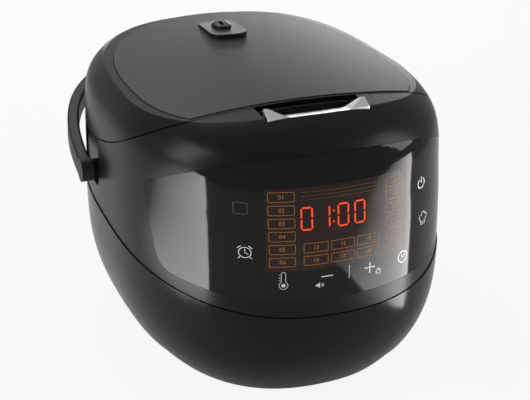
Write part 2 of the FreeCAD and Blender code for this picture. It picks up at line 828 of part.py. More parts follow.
def heater_tube():
    """Tubular element bent round under the plate, with its two ends turned down."""
    ring_tube = Part.makeTorus(heater_tube_circle * 0.72, heater_tube_radius,
                               Vector(0, pot_y, heater_bottom - heater_tube_radius), up, 0, 360, 320)
    return ring_tube


def heater_legs():
    low = base_z + floor_thickness + 3
    return Part.makeCompound([rod_z(heater_leg_radius, low, heater_bottom, x, y) for x, y in heater_leg_places()])


def side_heater():
    band = ring(chamber_outer + band_thickness, chamber_outer, band_bottom_z, band_bottom_z + band_height)
    return band.cut(block(-10, 10, -big, pot_y, band_bottom_z - 1, band_bottom_z + band_height + 1))


sensor_top = pot_bottom_z - sensor_pot_gap
sensor_shoulder = sensor_top - sensor_head


def sensor_cap():
    stem_bottom = base_z + floor_thickness + sensor_travel + 2
    cap = rod_z(sensor_radius, sensor_shoulder, sensor_top, 0, pot_y)
    cap = cap.makeFillet(1.5, [e for e in cap.Edges if abs(e.CenterOfMass.z - sensor_top) < 0.01])
    return cap.fuse(rod_z(sensor_stem_radius, stem_bottom, sensor_shoulder + 0.1, 0, pot_y))


def sensor_guide():
    tube = rod_z(sensor_guide_radius, base_z + floor_thickness, sensor_guide_top, 0, pot_y)
    bore = rod_z(sensor_stem_radius + 0.3, base_z + floor_thickness - 1, sensor_guide_top + 1, 0, pot_y)
    return tube.cut(bore)


def sensor_spring():
    low = sensor_guide_top + sensor_spring_wire / 2
    high = sensor_shoulder - sensor_spring_wire / 2
    pitch = (high - low) / sensor_spring_turns
    start = Vector(0, pot_y, low)
    radius = sensor_stem_radius + 2.2
    return coil("sensor_spring", start, up, radius, sensor_spring_wire, sensor_spring_turns, pitch)


def cooking_pot():
    inside = pot_radius - pot_wall
    bend = pot_corner_radius
    inner_bend = bend - pot_wall
    floor = pot_bottom_z + pot_floor
    slant = math.sqrt(0.5)
    lip = pot_rim_z - pot_rim_thickness
    outline = [(0, pot_bottom_z), (pot_radius - bend, pot_bottom_z),
               ((pot_radius - bend + bend * slant, pot_bottom_z + bend - bend * slant), (pot_radius, pot_bottom_z + bend)),
               (pot_radius, lip), (pot_rim_radius, lip), (pot_rim_radius, pot_rim_z), (inside, pot_rim_z),
               (inside, floor + inner_bend),
               ((inside - inner_bend + inner_bend * slant, floor + inner_bend - inner_bend * slant),
                (inside - inner_bend, floor)), (0, floor)]
    return revolved(outline)


nodes["inner_chamber"] = inner_chamber()
nodes["heating_plate"] = heating_plate()
nodes["heater_tube"] = heater_tube()
nodes["heater_legs"] = heater_legs()
nodes["side_heater"] = side_heater()
nodes["sensor_guide"] = sensor_guide()
nodes["sensor_cap"] = sensor_cap()
nodes["sensor_spring"] = sensor_spring()
nodes["cooking_pot"] = cooking_pot()


# Lid


def vent_top(y):
    """Height of the vent pad's sloping top."""
    share = (y - vent_front_y) / (vent_back_y - vent_front_y)
    return dome_z(0, y) + lid_panel_proud + vent_front_rise + share * (vent_back_rise - vent_front_rise)


vent_top_z = vent_top(vent_y)
tube_width = valve_width + 2 * (valve_clearance + vent_tube_wall)
tube_length = valve_length + 2 * (valve_clearance + vent_tube_wall)
liner_floor_z = liner_bottom_z + liner_wall


def lid_shell():
    region = lid_region(lid_front_y, tail_radius)
    shell = moulding(0, lid_foot_z).cut(moulding(wall, lid_foot_z - 1)).common(region)
    skirt = moulding(wall / 2, lid_foot_z).common(
        block(-big, big, lid_front_y, lid_front_y + wall, liner_top_z, crown_z)).common(region)
    shell = shell.fuse(skirt)
    slot_x = ear_width / 2 + 1
    slot = block(ear_x - slot_x, ear_x + slot_x, hinge_y + 4, big, 0, hinge_z + ear_radius + 1)
    seat = lid_outline(lid_panel_gap, liner_top_z, crown_z).cut(dome(lid_panel_thickness - lid_panel_proud))
    tube = stadium(tube_width + 2 * running_clearance, tube_length + 2 * running_clearance, 0, vent_y, liner_top_z, big)
    return shell.cut(Part.makeCompound([seat, tube] + both_sides(slot)))


def lid_panel():
    plate = lid_outline(0, liner_top_z, crown_z + 10).common(dome(-lid_panel_proud))
    plate = plate.cut(dome(lid_panel_thickness - lid_panel_proud))
    return plate.cut(stadium(tube_width + 2 * running_clearance, tube_length + 2 * running_clearance, 0, vent_y,
                             liner_top_z, big))


def liner_space(inset, bottom, top, front, rear_radius):
    diagonal = rear_radius * math.sqrt(0.5)
    outline = [(front, bottom), (hinge_y, bottom)]
    if hinge_z - rear_radius > bottom:
        outline += [(hinge_y, hinge_z - rear_radius)]
    outline += [((hinge_y + diagonal, hinge_z - diagonal), (hinge_y + rear_radius, hinge_z))]
    outline += [(hinge_y + rear_radius, top), (front, top)]
    return moulding(inset, lid_foot_z - 4).common(side_prism(outline))


def lid_liner():
    inset = wall + liner_inset
    rear = hinge_z - liner_bottom_z
    front = lid_front_y + liner_front
    outer = liner_space(inset, liner_bottom_z, liner_top_z, front, rear)
    inner = liner_space(inset + liner_wall, liner_floor_z, crown_z, front + liner_wall, rear - liner_wall)
    liner = outer.cut(inner)
    knuckles = []
    for x0 in (-knuckle_x - knuckle_width / 2, knuckle_x - knuckle_width / 2):
        web = block(x0, x0 + knuckle_width, hinge_y - 4, hinge_y + 4, liner_bottom_z, hinge_z)
        knuckles.append(web.fuse(rod_x(ear_radius - 1, x0, x0 + knuckle_width, hinge_y, hinge_z)))
    posts = [rod_z(liner_post_radius, liner_bottom_z, crown_z, x, y).common(dome(wall)) for x, y in liner_posts]
    liner = liner.multiFuse(knuckles + posts)
    cuts = [rod_x(hinge_pin_radius + running_clearance, -big, big, hinge_y, hinge_z)]
    slot_x = ear_width / 2 + 1
    slot = block(ear_x - slot_x, ear_x + slot_x, hinge_y - 30, big, liner_bottom_z - 5, hinge_z + ear_radius + 1)
    cuts += both_sides(slot)
    cuts.append(rod_z(steam_hole_radius, liner_bottom_z - 1, liner_floor_z + 1, 0, vent_y))
    return liner.cut(Part.makeCompound(cuts))


def inner_lid():
    top = liner_bottom_z
    disc = rod_z(inner_lid_radius, top - inner_lid_thickness, top, 0, pot_y)
    dish = revolved([(0, top - 3.4), (60, top - 3.4), (78, top - inner_lid_thickness), (78, top), (0, top)])
    hole = rod_z(steam_hole_radius, top - 10, top + 1, 0, vent_y)
    return disc.fuse(dish).cut(hole)


def lid_gasket():
    top = liner_bottom_z - inner_lid_thickness
    outer = inner_lid_radius
    low = pot_rim_z + gasket_pot_gap
    return revolved([(outer - gasket_width, top), (outer - gasket_width, low + 1.5), (outer - gasket_width + 2, low),
                     (outer, low), (outer, top)])


def lid_catch():
    front = lid_front_y + liner_front
    lip = block(-catch_width / 2, catch_width / 2, front - catch_reach, front, catch_z, catch_z + catch_thickness)
    plate = block(-catch_width / 2, catch_width / 2, front - catch_thickness, front, catch_z - 12, catch_z)
    return lip.fuse(plate).removeSplitter()


def hinge_spring():
    half = knuckle_x - knuckle_width / 2 - 8
    pitch = 2 * half / hinge_spring_turns
    start = Vector(-half, hinge_y, hinge_z)
    radius = hinge_pin_radius + hinge_spring_gap + hinge_spring_wire / 2
    return coil("hinge_spring", start, right, radius, hinge_spring_wire, hinge_spring_turns, pitch)


def vent_housing():
    low = liner_floor_z
    half = vent_width / 2
    pad = block(-half, half, vent_front_y, vent_back_y, liner_top_z, crown_z + 10)
    for y, radius in ((vent_front_y, vent_front_corner), (vent_back_y, vent_back_corner)):
        corners = [e for e in pad.Edges if abs(e.tangentAt(e.FirstParameter).z) > 0.9
                   and abs(e.CenterOfMass.y - y) < 0.01]
        pad = pad.makeFillet(radius, corners)
    margin = 5
    roof = side_prism([(y, z) for y, z in (
        (vent_front_y - margin, 0), (vent_front_y - margin, vent_top(vent_front_y - margin)),
        (vent_back_y + margin, vent_top(vent_back_y + margin)), (vent_back_y + margin, 0))])
    pad = pad.cut(dome(-lid_panel_proud)).common(roof)
    tube = stadium(tube_width, tube_length, 0, vent_y, low, crown_z + 10).common(roof)
    well = stadium(valve_width + 2 * valve_clearance, valve_length + 2 * valve_clearance, 0, vent_y,
                   vent_top_z - valve_depth, big)
    drain = rod_z(steam_hole_radius, low - 1, big, 0, vent_y)
    return pad.fuse(tube).cut(well).cut(drain)


def steam_valve():
    low = vent_top_z - valve_depth
    top = vent_top_z + valve_rise
    body = stadium(valve_width, valve_length, 0, vent_y, low, top)
    body = body.makeFillet(2, [e for e in body.Edges if abs(e.BoundBox.ZMin - top) < 0.01])
    hollow = stadium(valve_width - 2 * valve_wall, valve_length - 2 * valve_wall, 0, vent_y, low + valve_wall,
                     top - valve_wall)
    slot = stadium(valve_slot_width, valve_slot_length, 0, vent_y, top - 2 * valve_wall, top + 1)
    drain = rod_z(steam_hole_radius, low - 1, low + 2 * valve_wall, 0, vent_y)
    return body.cut(Part.makeCompound([hollow, slot, drain]))


nodes["lid_shell"] = lid_shell()
nodes["lid_panel"] = lid_panel()
nodes["lid_liner"] = lid_liner()
nodes["inner_lid"] = inner_lid()
nodes["lid_gasket"] = lid_gasket()
nodes["lid_catch"] = lid_catch()
nodes["hinge_spring"] = hinge_spring()
nodes["vent_housing"] = vent_housing()
nodes["steam_valve"] = steam_valve()


# Release bar and latch
def finger_scoop():
    """Dished cut across the bar, whose floor falls away to the back."""
    run = bar_back_y - bar_front_y + 4
    low = bar_scoop_front_z + 2 * bar_scoop_fall
    slope = (bar_scoop_half_width - bar_scoop_floor_half_width) / (bar_back_z - bar_scoop_front_z)
    top = bar_back_z + 10
    wide = bar_scoop_floor_half_width + slope * (top - low)
    corners = [(-wide, top), (-bar_scoop_floor_half_width, low), (bar_scoop_floor_half_width, low), (wide, top)]
    face = Part.Face(Part.makePolygon([Vector(x, bar_front_y - 2, z) for x, z in corners + corners[:1]]))
    scoop = face.extrude(Vector(0, run, -run * bar_scoop_fall))
    feet = [e for e in scoop.Edges if abs(e.tangentAt(e.FirstParameter).y) > 0.9 and e.CenterOfMass.z < bar_back_z]
    return scoop.makeFillet(bar_scoop_radius, feet)


def release_bar():
    outline = [(bar_front_y, bar_bottom_z + 3.6), (bar_front_y, bar_front_z), (bar_back_y - 2, bar_back_z),
               (bar_back_y, bar_back_z - 1), (bar_back_y, bar_bottom_z), (bar_front_y + 1.2, bar_bottom_z)]
    bar = side_prism(outline, bar_half_width)
    bar = bar.cut(finger_scoop())
    ends = [e for e in bar.Edges if abs(abs(e.CenterOfMass.x) - bar_half_width) < 0.01
            and e.CenterOfMass.z > bar_bottom_z + 4]
    return bar.makeFillet(bar_edge_radius, ends)


def latch_lever():
    tip = lid_front_y + liner_front - catch_reach + hook_engagement
    low, high = hook_z, hook_z + hook_height
    outline = [(bar_back_y, bar_bottom_z), (bar_back_y + 4, high + 6), (tip, high), (tip, low),
               (bar_back_y - 2, low), (bar_back_y - 5, high + 6), (latch_pivot_y - 3, latch_pivot_z - 4),
               (latch_pivot_y - 3, bar_bottom_z)]
    lever = side_prism(outline, latch_width / 2)
    eye = rod_x(latch_pin_radius + running_clearance, -big, big, latch_pivot_y, latch_pivot_z)
    return lever.cut(eye)


def latch_spring():
    start_x = lug_x + lug_width / 2 + 1
    pitch = 2.4
    start = Vector(start_x, latch_pivot_y, latch_pivot_z)
    return coil("latch_spring", start, right, latch_pin_radius + 1.0, latch_spring_wire, latch_spring_turns, pitch)


nodes["release_bar"] = release_bar()
nodes["latch_lever"] = latch_lever()
nodes["latch_pin"] = rod_x(latch_pin_radius, -lug_x - lug_width / 2, lug_x + 22, latch_pivot_y, latch_pivot_z)
nodes["latch_spring"] = latch_spring()


# Carry handle in two mouldings
def handle_curve(depth):
    points = []
    for k in range(plan_points // 2 + 1):
        angle = math.pi * k / (plan_points // 2)
        across, along = math.cos(angle), math.sin(angle)
        power = 2 / handle_exponent
        x = math.copysign(abs(across) ** power, across) * (handle_half_width - depth)
        y = abs(along) ** power * (handle_reach - depth)
        points.append(Vector(x, y, -handle_band / 2))
    curve = Part.BSplineCurve()
    curve.interpolate(points)
    return curve.toShape()


def handle_strip(depth, thickness, round_outside):
    outside, inside = handle_curve(depth), handle_curve(depth + thickness)
    ends = [Part.LineSegment(outside.valueAt(p1), inside.valueAt(p2)).toShape()
            for p1, p2 in ((outside.FirstParameter, inside.FirstParameter), (outside.LastParameter, inside.LastParameter))]
    strip = Part.Face(Part.Wire(Part.__sortEdges__([outside, inside] + ends))).extrude(Vector(0, 0, handle_band))
    limit = depth + thickness / 2
    long_edges = []
    for edge in strip.Edges:
        reach = edge.BoundBox.YMax
        outer_side = reach > handle_reach - limit
        if edge.Length > handle_reach and outer_side == round_outside:
            long_edges.append(edge)
    return strip.makeFillet(handle_edge_radius, long_edges)


def place_handle(shape):
    shape = shape.copy()
    shape.rotate(Vector(0, 0, 0), right, handle_rest_angle)
    shape.translate(Vector(0, handle_pivot_y, handle_pivot_z))
    return shape


def handle_boss(radius, inner_x, outer_x):
    return both_sides(rod_x(radius, inner_x, outer_x, 0, 0))


def handle_outer():
    strip = handle_strip(0, handle_outer_thickness, True)
    bosses = handle_boss(handle_boss_radius, handle_inner_x, handle_half_width)
    handle = fuse([strip] + bosses)
    bore = handle_boss(handle_pin_radius + running_clearance, 0, handle_pin_end_x + 0.3)
    return place_handle(handle.cut(Part.makeCompound(bore)))


def handle_inner():
    """Lining of the handle in three lengths, one for each arm and one for the grip."""
    strip = handle_strip(handle_outer_thickness, handle_inner_thickness, False)
    joint = block(-big, big, handle_arm_length, handle_arm_length + handle_liner_gap, -big, big)
    return place_handle(strip.cut(Part.makeCompound(handle_boss(handle_boss_radius, 0, big) + [joint])))


nodes["handle_outer"] = handle_outer()
nodes["handle_inner"] = handle_inner()


# Condensate cup at the back
def condensate_cup():
    cup = cup_space(0).common(hull(0, widest_z, lid_foot_z + 24))
    inside = block(-cup_half_width + cup_wall, cup_half_width - cup_wall, cup_front_y + cup_wall, big,
                   cup_bottom_z + cup_wall, cup_top_z + 1)
    return cup.cut(inside.common(hull(cup_wall + 1, widest_z, lid_foot_z + 24)))


nodes["condensate_cup"] = condensate_cup()

for name, shape in nodes.items():
    shape.exportStep(f"parts/{name}.step")
    state = "valid" if shape.isValid() else "NOT VALID"
    print(f"{name}: {len(shape.Solids)} solids, {shape.Volume / 1000:.1f} cm3, {state}")
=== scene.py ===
import math

import bmesh
import bpy
from mathutils import Matrix, Vector
from mathutils.bvhtree import BVHTree


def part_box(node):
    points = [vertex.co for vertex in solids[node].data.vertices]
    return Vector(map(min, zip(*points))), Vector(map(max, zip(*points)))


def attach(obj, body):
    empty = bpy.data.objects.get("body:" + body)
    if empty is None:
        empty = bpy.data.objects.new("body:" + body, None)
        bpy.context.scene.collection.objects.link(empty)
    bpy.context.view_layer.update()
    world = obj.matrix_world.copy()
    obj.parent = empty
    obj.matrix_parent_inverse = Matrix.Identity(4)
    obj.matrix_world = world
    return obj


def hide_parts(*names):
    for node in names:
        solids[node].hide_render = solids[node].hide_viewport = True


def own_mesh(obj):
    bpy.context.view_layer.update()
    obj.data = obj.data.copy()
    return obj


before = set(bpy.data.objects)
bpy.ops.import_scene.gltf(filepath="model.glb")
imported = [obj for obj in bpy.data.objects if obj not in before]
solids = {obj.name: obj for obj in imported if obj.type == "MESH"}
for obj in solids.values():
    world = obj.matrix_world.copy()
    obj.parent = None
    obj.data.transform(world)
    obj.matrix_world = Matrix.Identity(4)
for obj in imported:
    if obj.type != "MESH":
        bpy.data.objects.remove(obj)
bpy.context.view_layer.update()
scene = bpy.context.scene
scene.view_settings.view_transform = "Standard"
mm = 0.001
print("frame loaded:", len(solids), "solids")


class Wire:  # a node's output that takes part in plain arithmetic
    def __init__(self, kit, socket):
        self.kit, self.socket = kit, socket

    def other(self, name):  # another output of the same node
        return Wire(self.kit, self.socket.node.outputs[name])

    def run(self, operation, first, second):
        return self.kit.add("ShaderNodeMath", {"operation": operation}, {0: first, 1: second})

    def __add__(self, other):
        return self.run("ADD", self, other)

    def __radd__(self, other):
        return self.run("ADD", other, self)

    def __sub__(self, other):
        return self.run("SUBTRACT", self, other)

    def __rsub__(self, other):
        return self.run("SUBTRACT", other, self)

    def __mul__(self, other):
        return self.run("MULTIPLY", self, other)

    def __rmul__(self, other):
        return self.run("MULTIPLY", other, self)

    def __truediv__(self, other):
        return self.run("DIVIDE", self, other)

    def __rtruediv__(self, other):
        return self.run("DIVIDE", other, self)


class NodeKit:  # adds nodes to one tree
    def __init__(self, tree):
        self.tree = tree

    def add(self, kind, settings=None, sockets=None, out=0):
        node = self.tree.nodes.new(kind)
        for key, value in (settings or {}).items():
            if key == "stops":
                self.setStops(node.color_ramp, value)
            else:
                setattr(node, key, value)
        for key, value in (sockets or {}).items():
            self.feed(node.inputs[key], value)
        return Wire(self, node.outputs[out]) if len(node.outputs) else None

    def setStops(self, ramp, stops):
        while len(ramp.elements) < len(stops):
            ramp.elements.new(0.5)
        for element, (place, shade) in zip(ramp.elements, stops):
            element.position = place
            element.color = (*shade, 1)

    def feed(self, socket, value):
        if isinstance(value, Wire):
            self.tree.links.new(value.socket, socket)
        else:
            socket.default_value = value

    def blend(self, factor, first, second):  # 6, 7 and 2 are the colour sockets of a Mix node
        sockets = {"Factor": factor, 6: (*first, 1), 7: (*second, 1)}
        return self.add("ShaderNodeMix", {"data_type": "RGBA"}, sockets, out=2)


class Finish(NodeKit):  # one material and its shader
    def __init__(self, name, **fixed):
        self.material = bpy.data.materials.new(name)
        self.material.use_nodes = True
        super().__init__(self.material.node_tree)
        self.shader = self.tree.nodes["Principled BSDF"]
        for key, value in fixed.items():
            self.put(key.replace("_", " "), value)

    def put(self, name, value):
        if isinstance(value, tuple) and len(value) == 3:
            value = (*value, 1.0)
        self.feed(self.shader.inputs[name], value)

    def place(self):
        return self.add("ShaderNodeTexCoord", out="Object")

    def noise(self, scale, detail=2.0, stretch=(1, 1, 1)):
        where = self.add("ShaderNodeMapping", {}, {"Vector": self.place(), "Scale": stretch})
        return self.add("ShaderNodeTexNoise", {}, {"Vector": where, "Scale": scale, "Detail": detail})

    def bump(self, height, strength, distance):
        sockets = {"Height": height, "Strength": strength, "Distance": distance}
        return self.add("ShaderNodeBump", {}, sockets)


def mouldedPlastic(name, look):
    finish = Finish(name, Specular_IOR_Level=look["specular"])
    cloud = finish.noise(look["cloudScale"], detail=3)
    grain = finish.noise(look["grainScale"], detail=2)
    finish.put("Base Color", finish.blend(cloud, look["dark"], look["light"]))
    finish.put("Roughness", look["rough"] + look["roughSpread"] * (cloud + grain - 1.0))  # noise is about 0.5
    finish.put("Normal", finish.bump(grain, look["grain"], look["grainDepth"]))
    return finish.material


satinLook = dict(specular=0.25, cloudScale=14, grainScale=1500, dark=(0.0030, 0.0030, 0.0032),
                 light=(0.0045, 0.0045, 0.0047), rough=0.27, roughSpread=0.04, grain=0.05, grainDepth=0.00008)
glossLook = dict(satinLook, rough=0.16, roughSpread=0.02, grain=0.02)
panelLook = dict(satinLook, specular=0.33, dark=(0.0022, 0.0022, 0.0023), light=(0.0030, 0.0030, 0.0031),
                 rough=0.075, roughSpread=0.01, grain=0.0)
handleLook = dict(satinLook, specular=0.30, rough=0.42, grain=0.12, dark=(0.009, 0.009, 0.0093),
                  light=(0.012, 0.012, 0.0123))
innerLook = dict(satinLook, rough=0.45, dark=(0.018, 0.018, 0.019), light=(0.025, 0.025, 0.026))


def lidGrain(look):
    finish = Finish("lidGrain", Specular_IOR_Level=look["specular"])
    fibres = finish.noise(look["fibreScale"], detail=3, stretch=look["fibreStretch"])
    pores = finish.noise(look["poreScale"], detail=2)
    sweep = finish.noise(look["sweepScale"], detail=2)
    tint = look["fibreTint"] * fibres + look["sweepTint"] * sweep
    relief = look["poreRelief"] * pores + look["fibreRelief"] * fibres
    finish.put("Base Color", finish.blend(tint, look["dark"], look["light"]))
    finish.put("Roughness", look["rough"] + look["roughSpread"] * (pores - 0.5))
    finish.put("Normal", finish.bump(relief, look["grain"], look["grainDepth"]))
    return finish.material


lidLook = dict(specular=0.30, fibreScale=420, fibreStretch=(0.12, 1, 1), poreScale=1300, sweepScale=7,
               dark=(0.007, 0.007, 0.0072), light=(0.016, 0.016, 0.0164), rough=0.32, roughSpread=0.16,
               grain=0.5, grainDepth=0.0002, fibreTint=0.55, sweepTint=0.45, poreRelief=0.6, fibreRelief=0.4)


def brushedMetal(name, look):
    finish = Finish(name, Metallic=1.0)
    lines = finish.noise(look["lineScale"], detail=4, stretch=look["stretch"])
    smudge = finish.noise(look["smudgeScale"], detail=2)
    finish.put("Base Color", finish.blend(smudge, look["dark"], look["light"]))
    finish.put("Roughness", look["rough"] + look["roughSpread"] * (lines + smudge - 1.0))
    finish.put("Normal", finish.bump(lines, look["grain"], look["grainDepth"]))
    return finish.material


barLook = dict(lineScale=900, stretch=(0.03, 1, 1), smudgeScale=30, dark=(0.82, 0.82, 0.83),
               light=(0.92, 0.92, 0.93), rough=0.26, roughSpread=0.08, grain=0.05, grainDepth=0.00005)
steelLook = dict(barLook, stretch=(1, 1, 0.05), dark=(0.50, 0.50, 0.51), light=(0.60, 0.60, 0.61), rough=0.32)
discLook = dict(barLook, stretch=(1, 1, 1), lineScale=500, dark=(0.66, 0.66, 0.67), light=(0.74, 0.74, 0.75),
                rough=0.34)
brassLook = dict(barLook, dark=(0.66, 0.50, 0.22), light=(0.78, 0.62, 0.32), rough=0.25)


def potCoating(look):
    finish = Finish("potCoating", Specular_IOR_Level=look["specular"])
    flecks = finish.noise(look["fleckScale"], detail=1)
    limit = {0: flecks, 1: look["fleckLimit"]}
    spots = finish.add("ShaderNodeMath", {"operation": "GREATER_THAN"}, limit)
    finish.put("Base Color", finish.blend(spots, look["coat"], look["fleck"]))
    finish.put("Roughness", look["rough"] + look["roughSpread"] * (flecks - 0.5))
    finish.put("Normal", finish.bump(flecks, look["grain"], look["grainDepth"]))
    return finish.material


potLook = dict(specular=0.5, fleckScale=700, fleckLimit=0.66, coat=(0.035, 0.035, 0.037),
               fleck=(0.20, 0.20, 0.20), rough=0.30, roughSpread=0.1, grain=0.08, grainDepth=0.0001)


def softRubber(name, look):
    finish = Finish(name, Specular_IOR_Level=look["specular"])
    dust = finish.noise(look["dustScale"], detail=3)
    finish.put("Base Color", finish.blend(dust, look["dark"], look["light"]))
    finish.put("Roughness", look["rough"] + look["roughSpread"] * (dust - 0.5))
    finish.put("Normal", finish.bump(dust, look["grain"], look["grainDepth"]))
    return finish.material


rubberLook = dict(specular=0.3, dustScale=600, dark=(0.014, 0.014, 0.014), light=(0.024, 0.024, 0.024),
                  rough=0.75, roughSpread=0.1, grain=0.15, grainDepth=0.0001)
siliconeLook = dict(rubberLook, dark=(0.58, 0.58, 0.56), light=(0.66, 0.66, 0.64), rough=0.5, grain=0.03)
boardLook = dict(rubberLook, dark=(0.02, 0.10, 0.04), light=(0.03, 0.14, 0.06), rough=0.4, grain=0.05)
amberLook = dict(rubberLook, dark=(0.05, 0.02, 0.01), light=(0.07, 0.03, 0.012), rough=0.4, grain=0.02)

finishes = {
    "satin": mouldedPlastic("bodySatin", satinLook),
    "gloss": mouldedPlastic("bodyGloss", glossLook),
    "panel": mouldedPlastic("panelGloss", panelLook),
    "handle": mouldedPlastic("handleMatte", handleLook),
    "inner": mouldedPlastic("innerPlastic", innerLook),
    "lidTop": lidGrain(lidLook),
    "bar": brushedMetal("barMetal", barLook),
    "steel": brushedMetal("drawnSteel", steelLook),
    "disc": brushedMetal("spunAluminium", discLook),
    "brass": brushedMetal("contactBrass", brassLook),
    "pot": potCoating(potLook),
    "rubber": softRubber("blackRubber", rubberLook),
    "silicone": softRubber("paleSilicone", siliconeLook),
    "board": softRubber("greenBoard", boardLook),
    "amber": softRubber("amberBox", amberLook),
}
worn = {  # which solids wear which finish
    "satin": ["upper_shell", "lid_shell", "base_plate", "condensate_cup"],
    "gloss": ["lower_shell", "steam_valve"],
    "panel": ["control_panel"],
    "handle": ["handle_outer", "handle_inner"],
    "inner": ["top_deck", "lid_liner", "latch_lever", "power_inlet", "power_parts", "sensor_guide"],
    "lidTop": ["lid_panel", "vent_housing"],
    "bar": ["release_bar"],
    "steel": ["hinge_pin", "hinge_spring", "latch_pin", "latch_spring", "lid_catch", "base_screws",
              "inner_chamber", "heater_tube", "heater_legs", "sensor_spring", "handle_pins"],
    "disc": ["inner_lid", "heating_plate", "side_heater", "sensor_cap"],
    "brass": ["inlet_pins"],
    "pot": ["cooking_pot"],
    "rubber": ["rubber_feet", "touch_posts"],
    "silicone": ["lid_gasket"],
    "board": ["control_board", "power_board"],
    "amber": ["display_module"],
}
for key, names in worn.items():
    for name in names:
        data = solids[name].data
        data.materials.clear()
        data.materials.append(finishes[key])
print("finishes set:", len(finishes))

# prints are drawn in X and Z, in millimetres, and laid on the touch panel's own skin
panelMesh = solids["control_panel"].data
panelSkin = BVHTree.FromPolygons([v.co for v in panelMesh.vertices], [p.vertices for p in panelMesh.polygons])
castY = -0.5  # well in front of the panel, in metres


def onPanel(x, z, lift):
    hit, normal, _, _ = panelSkin.ray_cast(Vector((x * mm, castY, z * mm)), Vector((0, 1, 0)))
    if normal.y > 0:
        normal = -normal
    return hit + normal * lift * mm


def finishPrint(name, mesh, finish):
    data = bpy.data.meshes.new(name)
    mesh.to_mesh(data)
    mesh.free()
    data.materials.append(finish)
    piece = bpy.data.objects.new(name, data)
    scene.collection.objects.link(piece)
    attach(piece, "housing")


def printFlat(name, shapes, lift, finish, step=3.0, passes=6):
    mesh = bmesh.new()
    for outline in shapes:
        mesh.faces.new([mesh.verts.new((x, 0, z)) for x, z in outline])
    bmesh.ops.triangulate(mesh, faces=mesh.faces[:])
    for _ in range(passes):  # long edges are divided so that the print follows the curve
        long = [edge for edge in mesh.edges if edge.calc_length() > step]
        if not long:
            break
        bmesh.ops.subdivide_edges(mesh, edges=long, cuts=1)
        bmesh.ops.triangulate(mesh, faces=mesh.faces[:])
    for vert in mesh.verts:
        vert.co = onPanel(vert.co.x, vert.co.z, lift)
    for face in mesh.faces:
        face.normal_update()
        if face.normal.y > 0:
            face.normal_flip()
    finishPrint(name, mesh, finish)


def ribbon(points, width, closed=False):
    count = len(points)
    left, right = [], []
    for k, (x, z) in enumerate(points):
        before = points[k - 1] if closed or k else points[k]
        after = points[(k + 1) % count] if closed or k < count - 1 else points[k]
        dx, dz = after[0] - before[0], after[1] - before[1]
        size = math.hypot(dx, dz)
        nx, nz = -dz / size * width / 2, dx / size * width / 2
        left.append((x + nx, z + nz))
        right.append((x - nx, z - nz))
    last = count if closed else count - 1
    return [[left[k], left[(k + 1) % count], right[(k + 1) % count], right[k]] for k in range(last)]


def arcPoints(x, z, radius, start, end, count=24):
    turns = [math.radians(start + (end - start) * k / count) for k in range(count + 1)]
    return [(x + radius * math.cos(turn), z + radius * math.sin(turn)) for turn in turns]


def circle(radius, count):
    return arcPoints(0, 0, radius, 0, 360, count)[:-1]


def roundRect(x, z, width, height, radius, count=5):
    points = []
    for side, end, start in ((1, 1, 0), (-1, 1, 90), (-1, -1, 180), (1, -1, 270)):
        cornerX, cornerZ = x + side * (width / 2 - radius), z + end * (height / 2 - radius)
        points += arcPoints(cornerX, cornerZ, radius, start, start + 90, count)
    return points


def moved(shapes, centre):
    return [[(centre[0] + x, centre[1] + z) for x, z in outline] for outline in shapes]


def lampPrint(name, look):
    finish = Finish(name, Base_Color=look["base"], Roughness=look["rough"], Emission_Strength=look["glow"],
                    Specular_IOR_Level=panelLook["specular"])
    cloud = finish.noise(look["scale"], detail=1)
    finish.put("Emission Color", finish.blend(cloud, look["dim"], look["bright"]))
    return finish.material


inkLook = dict(base=(0.65, 0.65, 0.65), rough=0.3, glow=0.14, scale=300, dim=(0.7, 0.7, 0.7),
               bright=(0.9, 0.9, 0.9))
ghostLook = dict(inkLook, base=(0.05, 0.05, 0.05), glow=0.02)
segmentLook = dict(base=(0.3, 0.02, 0.01), rough=0.2, glow=1.0, scale=250, dim=(0.80, 0.045, 0.010),
                   bright=(1.0, 0.095, 0.022))
frameLook = dict(base=(0.12, 0.05, 0.015), rough=0.2, glow=1.0, scale=60, dim=(0.16, 0.055, 0.012),
                 bright=(0.30, 0.125, 0.035))
# unlit display lines get a faint painted glow
paintedFaintLook = dict(frameLook, glow=0.18)
ink = lampPrint("iconInk", inkLook)
ghostInk = lampPrint("ghostInk", ghostLook)
segmentGlow = lampPrint("segmentGlow", segmentLook)
frameGlow = lampPrint("frameGlow", frameLook)
faintGlow = lampPrint("faintGlow", paintedFaintLook)

display = dict(x=0.0, width=124.0, lowZ=137.0, highZ=207.0, columns=16, rows=9, lift=0.22)
# the window's own colour is a dark brown tint; its emission is a painted glow, brighter towards the bottom of
# the window
tintAndPaintedGlowLook = dict(base=(0.010, 0.006, 0.005), rough=0.07, glow=1.0, stops=[
    (0.0, (0.012, 0.005, 0.002)), (0.45, (0.009, 0.004, 0.002)), (1.0, (0.006, 0.003, 0.002))])


def displayTint(look):
    finish = Finish("displayTint", Base_Color=look["base"], Roughness=look["rough"],
                    Emission_Strength=look["glow"], Specular_IOR_Level=panelLook["specular"])
    up = finish.add("ShaderNodeSeparateXYZ", {}, {"Vector": finish.place()}, out="Z")
    height = (up - display["lowZ"] * mm) / ((display["highZ"] - display["lowZ"]) * mm)
    # painted glow: the emission fades from the bottom of the window to the top
    finish.put("Emission Color", finish.add("ShaderNodeValToRGB", {"stops": look["stops"]}, {"Fac": height}))
    return finish.material


def windowSheet():
    across, up = display["columns"], display["rows"]
    mesh = bmesh.new()
    rows = []
    for j in range(up + 1):
        z = display["lowZ"] + (display["highZ"] - display["lowZ"]) * j / up
        xs = [display["x"] + display["width"] * (i / across - 0.5) for i in range(across + 1)]
        rows.append([mesh.verts.new(onPanel(x, z, display["lift"])) for x in xs])
    for low, high in zip(rows, rows[1:]):
        for i in range(across):
            mesh.faces.new((low[i], low[i + 1], high[i + 1], high[i])).smooth = True
    return mesh


finishPrint("display_window", windowSheet(), displayTint(tintAndPaintedGlowLook))

